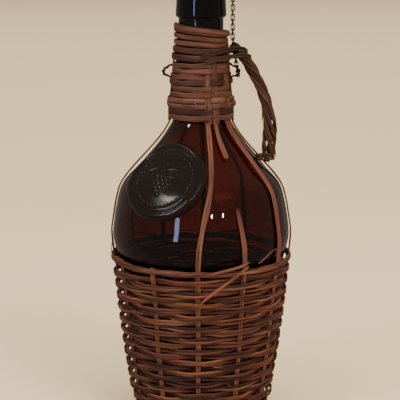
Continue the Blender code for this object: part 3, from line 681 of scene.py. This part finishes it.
def make_weft(name, phase, node):
    """One chasing weft: pairs of rods that pass before and behind alternate stakes."""
    low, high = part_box(node)
    foot = low.z + ROW_PITCH / 2 - 0.35 * MM
    turns = (high.z - low.z - ROW_PITCH + 0.7 * MM) / (2 * ROW_PITCH)
    rods = Bundle()
    steps = 120
    rng = np.random.default_rng(11 + phase)
    for sub in (-1, 1):
        begin = 0.0
        while begin < turns:
            rod_turns = rng.uniform(1.15, 2.1)
            end = min(begin + rod_turns, turns)
            first = max(begin - 0.07, 0)
            count = max(int((end - first) * steps), 12)
            turn = np.linspace(first, end, count)
            seed = int(rng.integers(1 << 30))
            azimuth = STAKE_TURN + 360 * turn
            z = foot + 2 * ROW_PITCH * turn + sub * (1.1 * MM)
            run = azimuth / 360 * TAU * 60 * MM
            z = z + 0.45 * MM * drift(run, 46 * MM, seed) + 0.14 * MM * drift(run, 13 * MM, seed + 1)
            sway = weave_phase(azimuth) * (1 - 2 * phase)
            sway = blunted(sway, 0.85)
            radius = jacket_r(z) + WEAVE_SWING * sway + 0.15 * MM * drift(run, 31 * MM, seed + 2)
            ends = tapered(count, 0.05, 0.05)
            size = ends * (1 + 0.14 * drift(run, 90 * MM, seed + 3)) * rng.uniform(0.86, 1.06)
            path = polar(azimuth, radius - (1 - ends) * 0.7 * MM, z)
            lean = (jacket_r(z + MM) - jacket_r(z - MM)) / (2 * MM)
            outward = unit(level_outward(path) - lean[:, None] * UP)
            rods.add(path, outward, ROD_WIDTH * size, ROD_THICKNESS * size, rng.uniform(0, 1))
            begin = end
    return rods.build(name, BODY_WILLOW, nodes=[node])


def make_rim():
    """The closing border: rods that lie over each other and tuck in behind the stakes."""
    low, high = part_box("basket_rim")
    rods = Bundle()
    rng = np.random.default_rng(31)
    for k in range(STAKES):
        start = STAKE_TURN + SPACING * (k - 0.4)
        for strand in range(3):
            span = SPACING * (2.2 + 0.3 * strand)
            count = 46
            azimuth = np.linspace(start + 6 * strand, start + 6 * strand + span, count)
            place = np.linspace(0, 1, count)
            seed = int(rng.integers(1 << 30))
            z = low.z + 1.2 * MM + (high.z - low.z - 2.2 * MM) * (0.15 + 0.7 * place)
            z = z - 0.9 * MM * strand * (1 - place) + 0.35 * MM * drift(azimuth, 35, seed)
            z = np.minimum(z, high.z - 0.9 * MM)
            sway = np.sin(place * math.pi) ** 0.6 * 2 - 1
            radius = jacket_r(z) + RIM_SWING * sway + 0.2 * MM * strand - 0.2 * MM
            path = polar(azimuth, radius, z)
            size = tapered(count, 0.12, 0.12)
            rods.add(path, None, RIM_ROD_WIDTH * size, RIM_ROD_THICKNESS * size,
                     rng.uniform(0.1, 1))
    return rods.build("rim_border", BODY_WILLOW, nodes=["basket_rim"])


def make_loose_ends():
    """Rod ends and peeled strips that have worked loose at the rim, and splinters on the wall."""
    rods = Bundle()
    rim = BASKET_Z
    routes = (
        # tint, width, thickness and (azimuth, distance off the jacket's middle, height off the rim)
        (0.95, 2.2, 1.2, ((31, 0.5, 4.5), (24, 2.6, 2.6), (16, 3.2, 0.8), (8, 3.0, -1.4), (2, 1.8, -3.4))),
        (0.70, 2.4, 0.9, ((31, 0.8, 1.5), (24, 3.3, -2.5), (16, 4.0, -9), (8, 4.0, -16), (2, 3.6, -22),
                          (-1, 3.0, -27))),
        (0.85, 0.9, 0.5, ((38, 0.5, 2.0), (43, 1.6, 6.0), (48, 2.0, 9.5), (54, 2.4, 11.5))),
        (0.40, 1.0, 0.6, ((-84, 1.7, -2.0), (-88, 1.3, 1.5), (-91, 1.2, 6.0), (-90, 0.8, 9.5))),
        (0.55, 0.7, 0.5, ((-80, 2.0, -4.0), (-83, 1.6, 1.0), (-84, 1.4, 4.5))),
        (0.50, 1.8, 1.2, ((78, 1.0, -1.0), (72, 2.4, 1.5), (64, 2.2, 0.2), (57, 1.0, -2.0))),
        (0.20, 2.0, 1.3, ((140, 2.6, -1.0), (152, 3.4, 1.2), (164, 3.0, 0.0), (173, 1.5, -2.5))),
        (0.80, 1.6, 1.0, ((-150, 2.6, -2.0), (-140, 3.6, 1.4), (-131, 3.6, 3.6), (-124, 2.8, 4.6))),
    )
    for tint, width, thickness, route in routes:
        course = [polar(azimuth, jacket_r(min(rim + up * MM, rim)) + off * MM, rim + up * MM)
                  for azimuth, off, up in route]
        path = flowing(course, 36)
        size = tapered(36, 0.05, 0.35)
        rods.add(path, None, width * MM * size, thickness * MM * size, tint)
    rng = np.random.default_rng(57)
    for _ in range(46):
        azimuth = rng.uniform(0, 360)
        low = rng.uniform(12, 112) * MM
        span = rng.uniform(3, 9) * rng.choice((-1, 1))
        count = 10
        place = np.linspace(0, 1, count)
        level = low + rng.uniform(-1.4, 1.4) * MM * place
        off = WEAVE_SWING + 0.5 * MM + 0.8 * MM * place ** 1.5
        path = polar(azimuth + span * place, jacket_r(level) + off, level)
        size = tapered(count, 0, 0.9)
        rods.add(path, None, 0.8 * MM * size, 0.35 * MM * size, rng.uniform(0.3, 1), 6)
    return rods.build("loose_ends", STAKE_WILLOW)


def lay_strips(rods, line, offsets, width, thickness, tints, seed, ends=(0.0, 0.0), steps=90):
    """Thin strips side by side along a centre line; each offset goes from its foot to its head."""
    base = flowing(line, steps)
    outward = level_outward(base)
    ahead = unit(np.gradient(base, axis=0))
    across = unit(np.cross(outward, ahead))
    place = np.linspace(0, 1, steps)
    run = lengths(base)
    for k, (foot, head, lift) in enumerate(offsets):
        shift = foot + (head - foot) * place ** 2 + 0.25 * MM * drift(run, 60 * MM, seed + k)
        lifted = lift + 0.06 * MM * drift(run, 40 * MM, seed + 9 + k)
        path = base + across * shift[:, None] + outward * lifted[:, None]
        size = tapered(steps, *ends) * (1 + 0.08 * drift(run, 50 * MM, seed + 5 + k))
        rods.add(path, outward, width * size, thickness * size, tints[k % len(tints)], 10, 0.7)


def make_stakes():
    """Split willow uprights; each is two or three strips that run together over the shoulder."""
    pair = ((-0.95 * MM, -0.85 * MM, -0.12 * MM), (0.95 * MM, 0.85 * MM, -0.04 * MM))
    three = ((-1.3 * MM, -2.2 * MM, 0), (0.2 * MM, 0.1 * MM, 0.5 * MM), (1.3 * MM, 2.4 * MM, 0.1 * MM))
    rng = np.random.default_rng(73)
    for index in range(1, STAKES + 1):
        node = f"stake_{index:02d}"
        rods = Bundle()
        line = centreline(node)
        many = three if index == 3 else pair
        width = 1.9 * MM if index == 3 else STRIP_WIDTH
        tints = rng.uniform(0.25, 1, 3)
        ends = (0, 0.08) if index == 2 else (0, 0)
        lay_strips(rods, line, many, width, STRIP_THICKNESS, tints, 100 * index, ends, 110)
        rods.build(f"split_stake_{index:02d}", STAKE_WILLOW, nodes=[node])
    rods = Bundle()
    line = centreline("broken_stake_top")
    lay_strips(rods, line, pair, 1.9 * MM, 1.2 * MM, (0.55, 0.35), 1900, (0.02, 0), 50)
    rods.build("split_stake_broken_end", STAKE_WILLOW, nodes=["broken_stake_top"])


def make_base():
    """The flat base: spokes crossing under the bottle, with rods woven round them."""
    low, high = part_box("woven_base")
    middle = (low.z + high.z) / 2
    outer_r = high.x - 0.8 * MM
    rods = Bundle()
    rng = np.random.default_rng(91)
    for k in range(STAKES // 2):
        angle = STAKE_TURN + SPACING * k
        reach = np.linspace(-outer_r, outer_r, 40)
        path = polar(angle, reach, middle + 0 * reach)
        rods.add(path, UP, 3.4 * MM, 1.0 * MM, rng.uniform(0.2, 0.9))
    pitch = 2.6 * MM
    start = 7 * MM
    turns = (outer_r - start) / pitch
    count = int(turns * 96)
    turn = np.linspace(0, turns, count)
    for side in (-1, 1):
        azimuth = STAKE_TURN + 360 * turn
        sway = np.cos(math.pi * (azimuth - STAKE_TURN) / SPACING) * side
        path = polar(azimuth, start + pitch * turn + (side + 1) * 0.65 * MM, middle + 0.85 * MM * sway)
        width = 2.0 * MM * tapered(count, 0.01, 0.01)
        rods.add(path, UP, width, 1.25 * MM, rng.uniform(0.2, 0.9), 8)
    rods.build("base_weave", BODY_WILLOW, nodes=["woven_base"])

    low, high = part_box("basket_foot")
    radius = high.x - 1.3 * MM
    middle = (low.z + high.z) / 2
    foot = Bundle()
    steps = 288
    azimuth = np.linspace(0, 360, steps, endpoint=False)
    for k in range(3):
        twist = np.radians(azimuth) * 22 + TAU * k / 3
        path = polar(azimuth, radius + 0.62 * MM * np.cos(twist), middle + 0.75 * MM * np.sin(twist))
        foot.add(path, None, 1.85 * MM, 1.25 * MM, 0.3 + 0.2 * k, 8, closed=True)
    foot.build("foot_rope", BODY_WILLOW, nodes=["basket_foot"])


# ---- Neck and handle

# Stakes' heads that show in the neck's weave: azimuth, and whether the first row passes over them.
NECK_HEADS = ((12.5, 1), (27, -1), (58, 1), (88, -1), (118, 1), (148, -1), (178, 1), (208, -1), (238, 1),
              (268, -1))


def neck_sway(azimuth, row):
    """How far a row bends out over or in behind each stake's head, from -1 to 1."""
    value = np.zeros_like(azimuth)
    for middle, way in NECK_HEADS:
        away = (azimuth - middle + 180) % 360 - 180
        value += way * (-1) ** row * np.exp(-(away / 9) ** 2)
    return value


def make_neck_wrap():
    """Rods woven round the neck over the stakes' heads, then plain coils up to the collar."""
    rods = Bundle()
    rng = np.random.default_rng(131)
    foot = WRAP_FOOT_Z + 3 * MM
    woven_rows = int(round((BAND_Z - foot) / WRAP_PITCH))
    steps = 150
    for row in range(woven_rows):
        for sub in (-1, 1):
            count = int(steps * 1.05)
            start = rng.uniform(150, 260)
            azimuth = start + np.linspace(0, 360 * 1.05, count)
            seed = int(rng.integers(1 << 30))
            z = foot + WRAP_PITCH * (row + (azimuth - start) / 360 * 0.12) + sub * 2.1 * MM
            z = z + 0.4 * MM * drift(azimuth, 90, seed)
            radius = wrap_r(z) - WRAP_DEPTH + 1.15 * MM * neck_sway(azimuth, row)
            radius = radius + 0.8 * MM * np.cos((z - foot) / WRAP_PITCH * TAU)
            ends = tapered(count, 0.05, 0.05)
            path = polar(azimuth, radius - (1 - ends) * 0.9 * MM, z)
            size = ends * (1 + 0.10 * drift(azimuth, 120, seed + 1))
            rods.add(path, None, WRAP_ROD_WIDTH * size, WRAP_ROD_THICKNESS * size,
                     rng.uniform(0, 1), 12, 0.75)
    for index, (middle, _) in enumerate(NECK_HEADS):
        count = 60
        for part in (-1, 0, 1):
            z = np.linspace(WRAP_FOOT_Z - 3 * MM, BAND_Z, count)
            sideways = part * 1.95 * MM * (1 - 0.25 * (z - WRAP_FOOT_Z) / (BAND_Z - WRAP_FOOT_Z))
            azimuth = middle + np.degrees(sideways / wrap_r(z))
            azimuth = azimuth + 0.5 * drift(z, 20 * MM, 700 + index * 3 + part)
            path = polar(azimuth, wrap_r(z) - WRAP_DEPTH + 0.12 * MM * part, z)
            rods.add(path, None, 1.9 * MM, 1.2 * MM, rng.uniform(0.35, 1), 8, 0.75)
    # Each plain coil: height over the woven rows, width, thickness and tilt.
    coils = ((2.6, 4.7, 1.6, 0.6), (7.9, 4.6, 1.7, 0.9), (12.6, 4.0, 2.2, 1.5), (17.0, 3.7, 2.4, 2.2),
             (21.3, 3.3, 2.6, 2.3))
    for k, (rise, width, thick, tilt) in enumerate(coils):
        count = 110
        azimuth = 160 + 17 * k + np.linspace(0, 378, count)
        z = BAND_Z + rise * MM - tilt * MM * np.sin(np.radians(azimuth))
        z = z + 0.2 * MM * drift(azimuth, 110, 400 + k)
        ends = tapered(count, 0.04, 0.04)
        path = polar(azimuth, wrap_r(z) - thick * MM / 2 + 0.3 * MM - (1 - ends) * 0.9 * MM, z)
        rods.add(path, None, width * MM * ends, thick * MM * ends, 0.15 + 0.17 * k, 12, 0.75)
    rods.build("neck_weave", NECK_WILLOW, nodes=["neck_wrap"])

    head = Bundle()
    count = 120
    azimuth = np.linspace(-82, 262, count)
    place = (azimuth + 82) / 344
    z = WRAP_HEAD_Z + 4.6 * MM - 6.4 * MM * np.clip(place / 0.42, 0, 1) ** 1.2
    z = z + 2.0 * MM * np.clip((place - 0.6) / 0.4, 0, 1)
    radius = glass_r(z) + 2.0 * MM + 1.2 * MM * np.clip(place / 0.35, 0, 1)
    path = polar(azimuth, radius, z)
    size = tapered(count, 0, 0.1)
    head.add(path, None, 4.3 * MM * size, 3.8 * MM * size, 0.45, 12, 0.9)
    head.build("neck_top_rod", NECK_WILLOW, nodes=["neck_head_rod"])


def handle_line(count):
    """The handle's middle line, from the neck out and down to the shoulder."""
    low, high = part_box("handle_core")
    azimuth = STAKE_TURN + 3 * SPACING
    root = low.x + 1.8 * MM
    reach = high.x - 1.8 * MM
    top = high.z - 1.3 * MM
    foot = low.z + 1.3 * MM
    bow = ((0, 0), (0.36, 0.13), (0.6, 0.27), (0.82, 0.43), (0.96, 0.63), (0.97, 0.8), (0.93, 1.0))
    course = [polar(azimuth, root + (reach - root) * out, top - (top - foot) * down) for out, down in bow]
    return flowing(course, count)


def make_handle():
    """Rods twisted round each other, coming apart towards the foot."""
    count = 120
    line = handle_line(count)
    side = np.array(polar(STAKE_TURN + 3 * SPACING + 90, 1.0, 0.0))
    ahead = unit(np.gradient(line, axis=0))
    out = np.cross(side, ahead)
    place = np.linspace(0, 1, count)
    run = lengths(line)
    core = Bundle()
    core.add(line, side, 3.2 * MM, 3.2 * MM, 0.3, 10, 1.0)
    core.build("handle_heart", HANDLE_WILLOW, nodes=["handle_core"])
    spread = 1 + 0.45 * np.clip((place - 0.55) / 0.3, 0, 1)
    early_ends = (0, 9, 4, 16, 2, 22, 7, 12)
    for rod in range(4):
        strands = Bundle()
        for part in range(2):
            turn = TAU * ((rod + 0.46 * part) / 4 + 1.45 * place)
            turn = turn + 0.18 * drift(run, 60 * MM, 500 + rod * 7 + part)
            reach = (3.0 + 0.35 * part) * MM * (0.75 + 0.25 * np.clip(place / 0.15, 0, 1)) * spread
            reach = reach + 0.35 * MM * drift(run, 33 * MM, 540 + rod * 5 + part)
            path = around(line, reach, side, out, turn)
            stop = count - early_ends[rod * 2 + part]
            size = tapered(stop, 0.04, 0.05) * (1 + 0.08 * drift(run[:stop], 40 * MM, 580 + rod))
            width = (2.7, 2.1)[part] * MM
            tint = (rod * 0.29 + part * 0.5) % 1
            strands.add(path[:stop], side, width * size, width * 0.88 * size, tint, 10, 0.95)
        strands.build(f"handle_strand_{rod + 1}", HANDLE_WILLOW, nodes=[f"handle_rod_{rod + 1}"])
    frays = Bundle()
    rng = np.random.default_rng(211)
    for _ in range(9):
        start = int(rng.uniform(0.5, 0.86) * count)
        span = int(rng.uniform(10, 20))
        stop = min(start + span, count - 1)
        part = line[start:stop]
        share = np.linspace(0, 1, len(part))
        turn = rng.uniform(0, TAU) + 0.9 * share
        reach = (4.0 + 2.2 * share ** 1.6 * rng.uniform(0.4, 1.0)) * MM
        path = around(part, reach, side, out[start:stop], turn)
        size = tapered(len(part), 0.1, 0.5)
        frays.add(path, side, 1.3 * MM * size, 0.8 * MM * size, rng.uniform(0.2, 1), 8)
    frays.build("handle_frays", HANDLE_WILLOW)


def make_lashings():
    """Thin rods that bind the handle's head to the neck."""
    # Each binding: its name, CAD node and tint, and (azimuth, distance off the wrap, height off the
    # handle's top) along it.
    routes = (
        ("binding_upper", "lashing_front_upper", 0.05, (
            (116, 6.6, -9.4), (102, 10.6, -7.6), (91, 12.2, -5.4), (81, 11.0, -3.8), (70, 8.2, -3.0),
            (56, 5.6, -3.1), (40, 3.4, -4.2), (22, 1.9, -5.8), (6, 1.1, -8.0), (-3, 0.2, -9.2))),
        ("binding_lower", "lashing_front_lower", 0.45, (
            (112, 9.4, -13.4), (100, 13.8, -12.0), (90, 15.2, -10.2), (80, 13.0, -8.8), (70, 9.8, -8.2),
            (57, 6.4, -8.4), (40, 3.6, -9.2), (24, 2.2, -10.6), (10, 1.2, -12.2), (2, 0.3, -13.2))),
        ("binding_back", "lashing_back", 0.4, (
            (68, 8.2, -5.6), (79, 12.0, -5.6), (89, 13.2, -5.7), (99, 12.2, -5.9), (109, 9.4, -6.2),
            (124, 6.2, -7.0), (140, 3.4, -8.4), (158, 1.6, -10.0), (172, 0.4, -11.4))),
    )
    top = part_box("handle_core")[1].z
    for name, node, tint, route in routes:
        rods = Bundle()
        for part in range(2):
            drop = -1.75 * MM * part
            course = []
            for azimuth, off, rise in route:
                z = top + rise * MM
                course.append(polar(azimuth, float(wrap_r(z)) + (off + 0.15 * part) * MM, z + drop))
            path = flowing(course, 60)
            size = tapered(60, 0.03, 0.12)
            rods.add(path, UP, BINDING_D * size, BINDING_D * size, tint + 0.2 * part, 10, 1.0)
        rods.build(name, BINDING_WILLOW, nodes=[node])
    low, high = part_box("handle_foot_tie")
    middle = (np.array(low) + np.array(high)) / 2
    half = (np.array(high) - np.array(low)) / 2
    rods = Bundle()
    for k in range(3):
        angle = np.linspace(0, TAU, 40, endpoint=False)
        loop = np.stack([middle[0] + (half[0] - 0.9 * MM) * blunted(np.cos(angle), 0.7),
                         middle[1] + (half[1] - 0.9 * MM) * blunted(np.sin(angle), 0.7),
                         middle[2] + (k - 1) * 1.6 * MM + 0.5 * MM * np.sin(angle + k)], -1)
        rods.add(loop, UP, 1.6 * MM, 1.5 * MM, 0.3 + 0.25 * k, 8, closed=True)
    rods.build("foot_binding", HANDLE_WILLOW, nodes=["handle_foot_tie"])


# ---- Metal, cork and cap

def make_wire():
    """The neck's wire with a thinner one twisted round it."""
    points = node_points("neck_wire")
    azimuth = np.degrees(np.arctan2(points[:, 0], -points[:, 1])) % 360
    centres = []
    for middle in np.linspace(azimuth.min(), azimuth.max(), 25):
        near = np.abs(azimuth - middle) < 4.6
        centres.append(points[near].mean(0))
    path = flowing(centres, 150)
    wire = Bundle()
    wire.add(path, UP, NECK_WIRE_D, NECK_WIRE_D, 0.5, 12, 1.0)
    turn = lengths(path) / TWIST_PITCH * TAU
    second = around(path, TWIST_R, level_outward(path), UP, turn)
    wire.add(second, UP, TWISTED_WIRE_D, TWISTED_WIRE_D, 0.5, 10, 1.0)
    wire.build("twisted_neck_wire", IRON, nodes=["neck_wire"])


def make_links():
    """Each link follows its CAD solid: an oval of round wire with its welded end a little thick."""
    bodies = frame["record"]["behaviour"]["bodies"]
    owners = [joint["child"] for joint in frame["joints"]]
    for node, owner in [(node, owner) for owner in owners for node in bodies[owner]]:
        if not node.startswith("chain_link_"):
            continue
        points = np.unique(np.round(node_points(node), 6), axis=0)
        _, axes = np.linalg.eigh(np.cov((points - points.mean(0)).T))
        facing, side, along = axes[:, 0], axes[:, 1], axes[:, 2]
        centre = points.mean(0)
        spread = (points - centre) @ along
        width = (points - centre) @ side
        half_width = (width.max() - width.min() - LINK_WIRE_D) / 2
        straight = (spread.max() - spread.min() - LINK_WIRE_D) / 2 - half_width
        loop = []
        for way in (1, -1):
            for angle in np.linspace(0, math.pi, 13):
                rise = straight + half_width * math.sin(angle)
                loop.append(centre + way * (along * rise + side * half_width * math.cos(angle)))
        link = Bundle()
        size = np.full(len(loop), LINK_WIRE_D)
        size[5:8] *= 1.16
        link.add(loop, facing, size, size, 0.5, 10, 1.0, closed=True)
        link.build("wire_" + node.replace("chain_", ""), IRON, owner, [node])


def make_stopper():
    """The tapered cork, its turned cap and the wire eye in the cap's side."""
    low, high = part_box("cork_stopper")
    radius = high.x
    foot_r = radius - 0.9 * MM
    outline = [(0, low.z)] + arc(foot_r - 0.8 * MM, low.z + 0.8 * MM, 0.8 * MM, -90, 0, 5)
    outline += [(foot_r + (radius - foot_r) * k / 8, low.z + (high.z - low.z) * k / 8) for k in range(1, 8)]
    outline += [(radius, high.z), (0, high.z)]
    lathe("tapered_cork", outline, cork(), "stopper", ["cork_stopper"], 72, 0.06 * MM, 35)

    low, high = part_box("stopper_cap")
    radius = high.x
    height = high.z - low.z
    edge = 1.6 * MM
    outline = [(0, low.z), (radius - 2.4 * MM, low.z)]
    outline += arc(radius - edge, low.z + edge, edge, -80, 0, 6)
    outline += arc(radius + 0.1 * MM, low.z + height * 0.42, 0.7 * MM, 250, 110, 7)
    outline += arc(radius - edge, low.z + height * 0.83 - edge, edge, 0, 80, 7)
    outline += arc(radius * 0.74, low.z + height * 0.84, 0.5 * MM, -30, -150, 5)
    outline += [(r, low.z + height * (0.86 + 0.14 * math.cos(r / (radius * 0.7) * math.pi / 2)))
                for r in np.linspace(radius * 0.68, 0, 12)]
    lathe("turned_cap", outline, cap_wood(), "stopper", ["stopper_cap"], 96, 0.0, 35)

    low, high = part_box("stopper_eye")
    middle_z = (low.z + high.z) / 2
    radius = (high.z - low.z - EYE_WIRE_D) / 2
    y = (low.y + high.y) / 2
    centre_x = high.x - radius - EYE_WIRE_D / 2
    leg = math.asin(EYE_LEG_OFF / radius)
    angle = np.linspace(math.pi - leg, leg - math.pi, 40)
    path = [(low.x - 1.5 * MM, y, middle_z + EYE_LEG_OFF), (low.x, y, middle_z + EYE_LEG_OFF)]
    path += [(centre_x + radius * math.cos(a), y, middle_z + radius * math.sin(a)) for a in angle]
    path += [(low.x, y, middle_z - EYE_LEG_OFF), (low.x - 1.5 * MM, y, middle_z - EYE_LEG_OFF)]
    eye = Bundle()
    eye.add(path, np.array((0, 1.0, 0)), EYE_WIRE_D, EYE_WIRE_D, 0.5, 12, 1.0)
    eye.build("screw_eye", IRON, "stopper", ["stopper_eye"])


# ---- Room, light and camera

FLOOR_REACH = 14
AIM = (0, 0, 0.16)
LAMP_WHITE = (1.0, 0.97, 0.92)
WARM_WHITE = (1.0, 0.92, 0.80)
LENS = 126
SENSOR = 36
CAMERA_PLACE = (-0.0008, -1.06, 0.370)
CAMERA_TILT = 79


def make_room():
    """A wide pale floor, which the glass lets through but doesn't mirror."""
    n = Nodes("pale_floor")
    mottle = n.noise(n.place, 3.0, 2, 0.5)
    n.set(Base_Color=n.mix(mottle, (0.88, 0.69, 0.43, 1), (0.91, 0.73, 0.475, 1)), Roughness=0.8,
          Specular_IOR_Level=0.2)
    mesh = bpy.data.meshes.new("floor")
    corners = [(x * FLOOR_REACH, y * FLOOR_REACH, 0) for x, y in ((-1, -1), (1, -1), (1, 1), (-1, 1))]
    mesh.from_pydata(corners, [], [(0, 1, 2, 3)])
    mesh.materials.append(n.material)
    floor = bpy.data.objects.new("floor", mesh)
    bpy.context.scene.collection.objects.link(floor)
    floor.visible_glossy = False


def area_light(name, place, target, size, power, colour, height=None, mirrored=True):
    """A soft lamp; one that isn't mirrored lights the glass but can't be seen in it."""
    data = bpy.data.lights.new(name, "AREA")
    data.shape = "RECTANGLE" if height else "DISK"
    data.size = size
    if height:
        data.size_y = height
    data.energy = power
    data.color = colour
    light = bpy.data.objects.new(name, data)
    light.location = place
    light.visible_glossy = mirrored
    light.rotation_euler = (Vector(target) - Vector(place)).to_track_quat("-Z", "Y").to_euler()
    bpy.context.scene.collection.objects.link(light)


def make_light():
    world = bpy.data.worlds.new("studio")
    world.use_nodes = True
    background = world.node_tree.nodes["Background"]
    background.inputs["Color"].default_value = (*WARM_WHITE, 1)
    background.inputs["Strength"].default_value = 0.22
    bpy.context.scene.world = world
    area_light("key", (0.85, -1.15, 1.25), AIM, 0.8, 22, (1.0, 0.91, 0.79), mirrored=False)
    area_light("fill", (-1.2, -1.1, 0.8), AIM, 0.9, 3.0, (0.93, 0.96, 1.0), mirrored=False)
    area_light("ceiling", (0, 2.0, 3.6), (0, 2.0001, 0), 10, 520, WARM_WHITE, 10, mirrored=False)
    area_light("window", (-0.45, -0.75, 0.25), (0, 0, 0.15), 0.08, 0.5, (0.35, 0.5, 1.0), 0.2)
    area_light("shine", (-0.95, -0.75, 0.95), (-0.03, -0.06, 0.24), 0.3, 4.5, (1.0, 0.95, 0.88))
    area_light("lamp_one", (0.34, -1.43, 0.50), AIM, 0.07, 1.3, LAMP_WHITE)
    area_light("lamp_two", (0.74, -1.25, 0.48), AIM, 0.07, 1.3, LAMP_WHITE)


def make_camera():
    data = bpy.data.cameras.new("camera")
    data.lens = LENS
    data.sensor_width = SENSOR
    camera = bpy.data.objects.new("camera", data)
    camera.location = CAMERA_PLACE
    camera.rotation_euler = (math.radians(CAMERA_TILT), 0, 0)
    bpy.context.scene.collection.objects.link(camera)
    bpy.context.scene.camera = camera


make_camera()
make_light()
make_room()
make_bottle()
make_seal()
make_weft("weft_rods_a", 0, "basket_weft_a")
make_weft("weft_rods_b", 1, "basket_weft_b")
make_rim()
make_stakes()
make_loose_ends()
make_base()
make_neck_wrap()
make_handle()
make_lashings()
make_wire()
make_links()
make_stopper()
